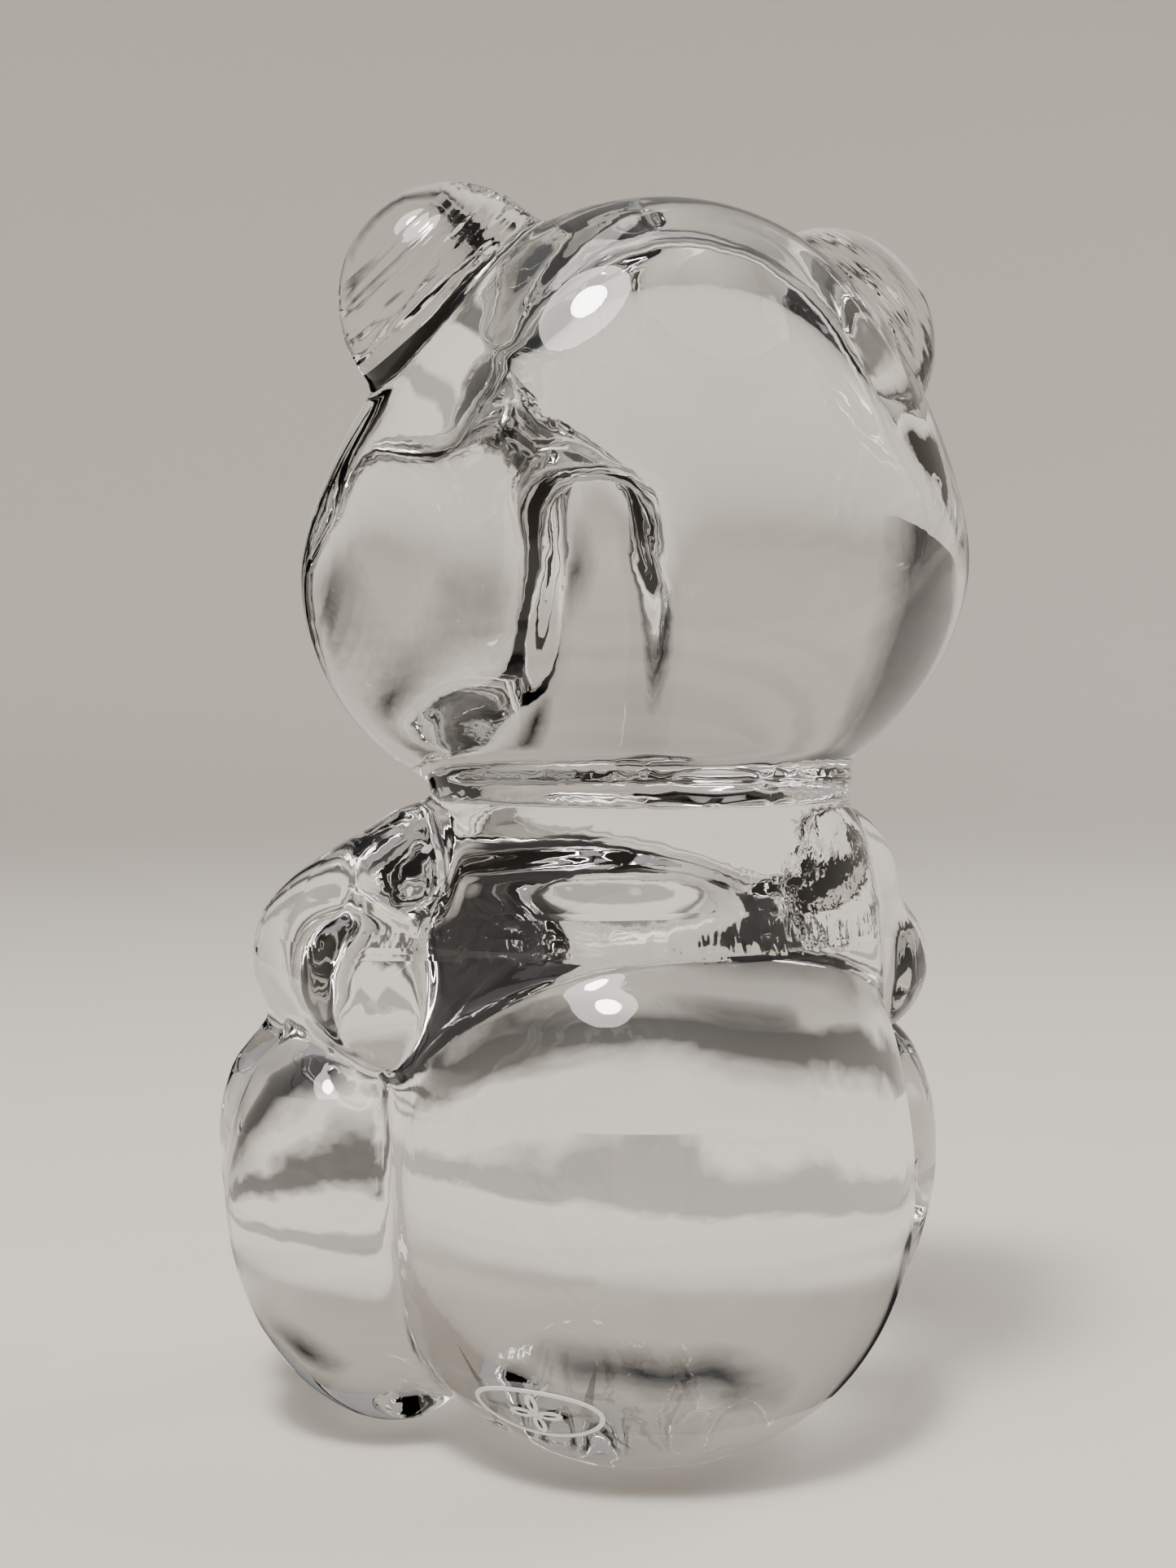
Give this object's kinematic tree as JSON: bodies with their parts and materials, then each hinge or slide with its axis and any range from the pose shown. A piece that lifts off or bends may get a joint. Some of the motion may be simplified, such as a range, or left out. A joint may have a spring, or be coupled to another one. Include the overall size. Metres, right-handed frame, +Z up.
{
  "type": "crystal figurine",
  "caption": "Sitting bear in clear pressed glass with round ears, folded arms and a small oval clear label low on its side.",
  "frame": {"origin": "centre of the flat base, on the surface it stands on", "axes": "+Z up, the bear faces -Y, its left side is +X"},
  "size_m": [0.055, 0.0472, 0.0838],
  "materials": {
    "glass": "fire polished, clear",
    "film": "clear label film",
    "print": "frosted print"
  },
  "bodies": {
    "root": {"seat": "glass", "torso": "glass", "head": "glass", "muzzle": "glass", "nose": "glass", "left_leg": "glass", "right_leg": "glass", "left_arm": "glass", "right_arm": "glass", "left_ear": "glass", "right_ear": "glass", "left_eye": "glass", "right_eye": "glass", "label_film": "film", "label_ring": "print", "label_flower": "print"}
  },
  "joints": []
}
